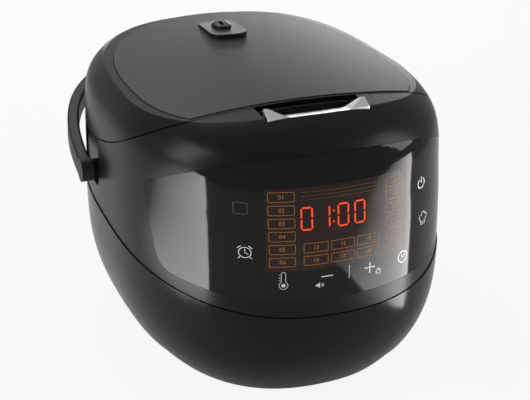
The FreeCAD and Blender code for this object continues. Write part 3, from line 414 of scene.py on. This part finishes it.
digits = dict(text="0100", left=(-35.0, -20.6, -4.4, 10.2), width=10.0, low=171.0, tall=19.6, stroke=1.35,
              gap=0.45, lift=0.36)
colon = dict(x=-7.6, heights=(176.0, 185.0), width=1.3, tall=1.7, corner=0.45)
litSegments = {"0": "abcdef", "1": "bc"}


def segments(shown, left):
    width, low, tall, stroke, gap = (digits[k] for k in ("width", "low", "tall", "stroke", "gap"))
    x0, x1 = left + stroke / 2, left + width - stroke / 2
    z0, z1, z2 = low + stroke / 2, low + tall / 2, low + tall - stroke / 2
    ends = {"a": ((x0, z2), (x1, z2)), "b": ((x1, z2), (x1, z1)), "c": ((x1, z1), (x1, z0)),
            "d": ((x0, z0), (x1, z0)), "e": ((x0, z0), (x0, z1)), "f": ((x0, z1), (x0, z2))}
    shapes = []
    for letter in litSegments[shown]:
        (ax, az), (bx, bz) = ends[letter]
        size = math.hypot(bx - ax, bz - az)
        ux, uz = (bx - ax) / size, (bz - az) / size
        start, end, h = gap, size - gap, stroke / 2
        along = [(start, 0), (start + h, h), (end - h, h), (end, 0), (end - h, -h), (start + h, -h)]
        shapes.append([(ax + ux * s - uz * n, az + uz * s + ux * n) for s, n in along])
    return shapes


def timeShapes():
    shapes = []
    for shown, left in zip(digits["text"], digits["left"]):
        shapes += segments(shown, left)
    for z in colon["heights"]:
        shapes.append(roundRect(colon["x"], z, colon["width"], colon["tall"], colon["corner"]))
    return shapes


printFlat("time_digits", timeShapes(), digits["lift"], segmentGlow)


def newTree(name, labels):  # a geometry tree with a named input for each size
    tree = bpy.data.node_groups.new(name, "GeometryNodeTree")
    tree.interface.new_socket("Geometry", in_out="INPUT", socket_type="NodeSocketGeometry")
    for label in labels:
        tree.interface.new_socket(label, in_out="INPUT", socket_type="NodeSocketFloat")
    tree.interface.new_socket("Geometry", in_out="OUTPUT", socket_type="NodeSocketGeometry")
    return NodeKit(tree)


def closeTree(kit, geometry, material):
    real = kit.add("GeometryNodeRealizeInstances", {}, {"Geometry": geometry})
    dressed = kit.add("GeometryNodeSetMaterial", {}, {"Geometry": real, "Material": material})
    kit.add("NodeGroupOutput", {}, {"Geometry": dressed})
    return kit.tree


def nodeMesh(name, points, tree, sizes):
    seeds = bpy.data.meshes.new(name + "Seeds")
    seeds.from_pydata(points, [], [])
    maker = bpy.data.objects.new(name + "Maker", seeds)
    scene.collection.objects.link(maker)
    modifier = maker.modifiers.new("nodes", "NODES")
    modifier.node_group = tree
    for socket in tree.interface.items_tree:
        if socket.name in sizes:
            modifier[socket.identifier] = float(sizes[socket.name])
    made = bpy.data.meshes.new_from_object(maker.evaluated_get(bpy.context.evaluated_depsgraph_get()))
    maker.modifiers.remove(modifier)
    bpy.data.objects.remove(maker)
    return made


def flatOutlines(data, x=0.0, z=0.0):  # a flat mesh in X and Y, as outlines in X and Z
    return [[(x + data.vertices[v].co.x, z + data.vertices[v].co.y) for v in face.vertices]
            for face in data.polygons]


# program boxes: columns at both sides and two rows of three below the time
boxes = dict(width=20.0, tall=7.8, corner=0.9, cornerSteps=4, line=0.4, rowTop=199.6, rowPitch=10.9, rows=6,
             sideX=49.6, midPitch=22.8, midRows=(4, 5), lift=0.32)


def boxPlaces():
    rowZ = [boxes["rowTop"] - row * boxes["rowPitch"] for row in range(boxes["rows"])]
    places = [(side * boxes["sideX"], z) for side in (-1, 1) for z in rowZ]
    for row in boxes["midRows"]:
        places += [(column * boxes["midPitch"], rowZ[row]) for column in (-1, 0, 1)]
    return places


def boxTree(material):
    kit = newTree("programBoxes", ("Width", "Height", "Corner", "Line"))
    source = kit.add("NodeGroupInput")
    sides = {"Width": source.other("Width"), "Height": source.other("Height")}
    box = kit.add("GeometryNodeCurvePrimitiveQuadrilateral", {}, sides)
    corner = {"Curve": box, "Radius": source.other("Corner"), "Count": boxes["cornerSteps"]}
    fillet = kit.add("GeometryNodeFilletCurve", {"mode": "POLY"}, corner)
    ends = [kit.add("ShaderNodeCombineXYZ", {}, {"X": half * source.other("Line")}) for half in (0.5, -0.5)]
    stroke = kit.add("GeometryNodeCurvePrimitiveLine", {}, {"Start": ends[0], "End": ends[1]})
    drawn = kit.add("GeometryNodeCurveToMesh", {}, {"Curve": fillet, "Profile Curve": stroke})
    copies = kit.add("GeometryNodeInstanceOnPoints", {}, {"Points": source, "Instance": drawn})
    return closeTree(kit, copies, material)


boxSizes = {"Width": boxes["width"], "Height": boxes["tall"], "Corner": boxes["corner"],
            "Line": boxes["line"]}
boxMesh = nodeMesh("program_boxes", [(x, z, 0) for x, z in boxPlaces()], boxTree(frameGlow), boxSizes)
printFlat("program_boxes", flatOutlines(boxMesh), boxes["lift"], frameGlow)

hints = dict(left=-34.0, right=33.0, rows=(196.5, 199.6, 202.7), line=0.35, lift=0.32)  # unlit, over the time; their faint glow is painted
hintShapes = []
for z in hints["rows"]:
    hintShapes += ribbon([(hints["left"], z), (hints["right"], z)], hints["line"])
printFlat("hint_lines", hintShapes, hints["lift"], faintGlow)

numbers = dict(size=5.0, curveSteps=2, lift=0.32)


def numberShapes(text, x, z):
    curve = bpy.data.curves.new("number", "FONT")
    curve.body = text
    curve.size = numbers["size"]
    curve.align_x = "CENTER"
    curve.align_y = "CENTER"
    curve.resolution_u = numbers["curveSteps"]
    writer = bpy.data.objects.new("number", curve)
    scene.collection.objects.link(writer)
    bpy.context.view_layer.update()
    data = bpy.data.meshes.new_from_object(writer.evaluated_get(bpy.context.evaluated_depsgraph_get()))
    bpy.data.objects.remove(writer)
    return flatOutlines(data, x, z)


boxNumbers = []
for count, (x, z) in enumerate(boxPlaces()):
    boxNumbers += numberShapes(f"{count + 1:02d}", x, z)
printFlat("program_numbers", boxNumbers, numbers["lift"], frameGlow)
print("display laid on the panel")

# key signs, each drawn about its own centre
strokes = dict(line=0.6, slim=0.48, tick=0.42, thin=0.5, lock=0.55, bold=0.9, plus=1.0, clockHands=0.8)


def alarmClock():
    shapes = ribbon(circle(4.4, 28), strokes["line"], True)
    shapes += ribbon([(0, 3), (0, 0), (2.4, -1.4)], strokes["slim"])  # hands
    for side in (-1, 1):  # bells and feet
        shapes += ribbon([(5.3 * side, 3.6), (2.6 * side, 5.8)], strokes["line"])
        shapes += ribbon([(3.4 * side, -3.6), (4.8 * side, -5.4)], strokes["line"])
    return shapes


def thermometer():
    bulb = arcPoints(0, 0, 3.4, 120, 420, 22)
    stem = [(1.7, 10)] + arcPoints(0, 10, 1.7, 0, 180, 8)
    shapes = ribbon(bulb + stem + [bulb[0]], strokes["slim"])
    shapes.append(circle(1.7, 14))
    for z in (4.4, 6.8, 9.2):  # scale
        shapes += ribbon([(-3.6, z), (-2.4, z)], strokes["tick"])
    return shapes


def minusSign():
    return ribbon([(-5, 0), (5, 0)], strokes["bold"])


def divider():
    return ribbon([(0, -6), (0, 6)], strokes["thin"])


def plusSign():
    shapes = ribbon([(-5, 0), (5, 0)], strokes["plus"])
    for end in (-1, 1):
        shapes += ribbon([(0, 0.5 * end), (0, 5 * end)], strokes["plus"])
    return shapes


def padlock():
    shapes = ribbon(roundRect(0, 0, 4.0, 3.2, 0.4), strokes["lock"], True)
    return shapes + ribbon(arcPoints(0, 1.8, 1.3, 0, 180, 8), strokes["thin"])


def clockFace():
    shapes = ribbon(circle(5.0, 30), strokes["bold"], True)
    return shapes + ribbon([(-2, 2.2), (0, -0.8), (3, 2)], strokes["clockHands"])


def powerSign():
    shapes = ribbon(arcPoints(0, 0, 4.3, 125, 415, 24), strokes["bold"])
    return shapes + ribbon([(0, 0.2), (0, 5.6)], strokes["bold"])


def cookHat():
    outline = arcPoints(-2.8, 2.4, 2.4, 60, 250, 10) + [(-3, -4), (3, -4)]
    outline += arcPoints(2.8, 2.4, 2.4, -70, 120, 10) + arcPoints(0, 4.4, 2.5, 20, 160, 8)
    return ribbon(outline, strokes["slim"], True) + ribbon([(-2.8, -1.8), (2.8, -1.8)], strokes["tick"])


def soundOff():
    shapes = [[(-3.4, -0.9), (-2, -0.9), (0, -2.6), (0, 2.6), (-2, 0.9), (-3.4, 0.9)]]
    for end in (-1, 1):
        shapes += ribbon([(1.2, 1.4 * end), (3.4, -1.4 * end)], strokes["thin"])
    return shapes


def stopSquare():
    return ribbon(roundRect(0, 0, 9.4, 9.4, 0.8), strokes["line"], True)


signs = dict(lift=0.14, step=2.0, stopPlace=(-79, 190), places=[
    (alarmClock, (-77, 153)), (thermometer, (-49, 124.6)), (minusSign, (-13.4, 129.5)), (divider, (6, 130)),
    (plusSign, (25, 130)), (padlock, (33.4, 124.2)), (clockFace, (59, 130)), (powerSign, (81, 187)),
    (cookHat, (84, 154)), (soundOff, (-19.4, 122.2))])
signShapes = []
for drawSign, place in signs["places"]:
    signShapes += moved(drawSign(), place)
printFlat("key_signs", signShapes, signs["lift"], ink, signs["step"])
printFlat("stop_sign", moved(stopSquare(), signs["stopPlace"]), signs["lift"], ghostInk, signs["step"])
print("key signs laid on the panel")

# wound springs, swept as round wire along a spiral, wire in millimetres
springs = {
    "hinge_spring": dict(axis="X", wire=1.8, turns=6),
    "latch_spring": dict(axis="X", wire=0.8, turns=5),
    "sensor_spring": dict(axis="Z", wire=1.0, turns=4, joint="sensor_press", stroke=3.0),
}
coil = dict(stepsPerTurn=40, wireSides=14)


def springTree(material):
    kit = newTree("woundWire", ("Radius", "Height", "Turns", "Wire"))
    source = kit.add("NodeGroupInput")
    radius = source.other("Radius")
    path = {"Resolution": coil["stepsPerTurn"], "Rotations": source.other("Turns"), "Start Radius": radius,
            "End Radius": radius, "Height": source.other("Height")}
    spiral = kit.add("GeometryNodeCurveSpiral", {}, path)
    section = {"Resolution": coil["wireSides"], "Radius": source.other("Wire")}
    ring = kit.add("GeometryNodeCurvePrimitiveCircle", {}, section)
    sweep = {"Curve": spiral, "Profile Curve": ring, "Fill Caps": True}
    wound = kit.add("GeometryNodeCurveToMesh", {}, sweep)
    smooth = kit.add("GeometryNodeSetShadeSmooth", {}, {"Geometry": wound})
    return closeTree(kit, smooth, material)


coilTree = springTree(finishes["steel"])
for node, spring in springs.items():
    low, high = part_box(node)
    middle, reach = (low + high) / 2, high - low
    wire = spring["wire"] * mm / 2
    length, across = (reach.x, reach.y) if spring["axis"] == "X" else (reach.z, reach.x)
    sizes = {"Radius": across / 2 - wire, "Height": length - 2 * wire, "Turns": spring["turns"], "Wire": wire}
    data = nodeMesh(node + "_coil", [(0, 0, 0)], coilTree, sizes)
    data.transform(Matrix.Translation((0, 0, wire - length / 2)))
    if spring["axis"] == "X":
        data.transform(Matrix.Rotation(math.radians(90), 4, "Y"))
    data.transform(Matrix.Translation(middle))
    piece = bpy.data.objects.new(node + "_coil", data)
    scene.collection.objects.link(piece)
    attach(piece, "housing")
    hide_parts(node)
    if "joint" in spring:
        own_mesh(piece)
print("springs wound:", len(springs))

# floor, light and camera
studio = dict(floorReach=6.0, floorShade=(0.8, 0.8, 0.8), floorRough=0.8, floorSpecular=0.1, paleShare=0.90,
              mirrorShare=0.2, white=(1, 1, 1), sky=(0.20, 0.20, 0.204))


def seenShare(kit):  # 1 to the camera, less in mirrors and through glass
    seen = kit.add("ShaderNodeLightPath", out="Is Camera Ray")
    mirrored = seen.other("Is Glossy Ray") + seen.other("Is Transmission Ray")
    return seen + studio["mirrorShare"] * mirrored


def paleFloor():
    finish = Finish("paleFloor", Base_Color=studio["floorShade"], Roughness=studio["floorRough"],
                    Specular_IOR_Level=studio["floorSpecular"])
    glow = finish.add("ShaderNodeEmission", {}, {"Color": (*studio["white"], 1), "Strength": 1.0})
    lit = Wire(finish, finish.shader.outputs[0])
    share = studio["paleShare"] * seenShare(finish)
    mixed = finish.add("ShaderNodeMixShader", {}, {0: share, 1: lit, 2: glow})
    finish.feed(finish.tree.nodes["Material Output"].inputs["Surface"], mixed)
    return finish.material


floorMesh = bpy.data.meshes.new("floor")
side = studio["floorReach"]
corners = [(-side, -side, 0), (side, -side, 0), (side, side, 0), (-side, side, 0)]
floorMesh.from_pydata(corners, [], [(0, 1, 2, 3)])
floorMesh.materials.append(paleFloor())
floor = bpy.data.objects.new("floor", floorMesh)
scene.collection.objects.link(floor)

world = bpy.data.worlds.new("studio")
scene.world = world
world.use_nodes = True
skyKit = NodeKit(world.node_tree)
skyShade = skyKit.blend(seenShare(skyKit), studio["sky"], studio["white"])
skyKit.feed(world.node_tree.nodes["Background"].inputs["Color"], skyShade)

lamps = {  # two sloped sheets lie just over the floor and face up, the other lamps hang further off
    "leftSheet": dict(place=(-0.528, -0.123, 0.10), aim=(-0.148, 0.001, 1.10), wide=0.34, tall=0.485,
                      power=5.0, fade=True),
    "leftFill": dict(place=(-1.5, -0.08, 1.0), aim=(-0.1, -0.12, 0.2), wide=0.5, tall=1.3, power=8),
    "rightSheet": dict(place=(0.388, -0.414, 0.127), aim=(-0.052, -0.320, 1.127), wide=0.30, tall=0.57,
                       power=5.0, fade=True),
    "rightFill": dict(place=(1.39, -0.50, 1.13), aim=(0.04, -0.18, 0.2), wide=0.55, tall=1.1, power=6),
    "backBox": dict(place=(0.40, 1.3, 0.38), aim=(0.0, 0.1, 0.25), wide=1.1, tall=0.20, power=3.0),
    "topBox": dict(place=(-0.1, 1.2, 1.7), aim=(0, 0, 0.2), wide=1.0, tall=1.0, power=8),
}


def fadeAcross(light):  # dark at one side of the lamp, full at the other
    light.use_nodes = True
    kit = NodeKit(light.node_tree)
    place = kit.add("ShaderNodeNewGeometry", out="Parametric")
    across = kit.add("ShaderNodeSeparateXYZ", {}, {"Vector": place}, out="X")
    kit.feed(light.node_tree.nodes["Emission"].inputs["Strength"], across)


def aimed(holder, place, target):
    holder.location = place
    holder.rotation_euler = (Vector(target) - Vector(place)).to_track_quat("-Z", "Y").to_euler()
    scene.collection.objects.link(holder)


for name, lamp in lamps.items():
    light = bpy.data.lights.new(name, "AREA")
    light.shape = "RECTANGLE"
    light.size, light.size_y = lamp["wide"], lamp["tall"]
    light.energy = lamp["power"]
    if lamp.get("fade"):
        fadeAcross(light)
    holder = bpy.data.objects.new(name, light)
    holder.visible_camera = False
    aimed(holder, lamp["place"], lamp["aim"])

shot = dict(place=(-0.3794, -1.0102, 0.5847), target=(0.0, -0.018, 0.1081), sensor=36.0, lens=83.54,
            shiftX=0.0102, shiftY=0.0165)
camData = bpy.data.cameras.new("shot")
camData.sensor_width = shot["sensor"]
camData.lens = shot["lens"]
camData.shift_x, camData.shift_y = shot["shiftX"], shot["shiftY"]
cam = bpy.data.objects.new("shot", camData)
aimed(cam, shot["place"], shot["target"])
scene.camera = cam
print("studio and camera set")
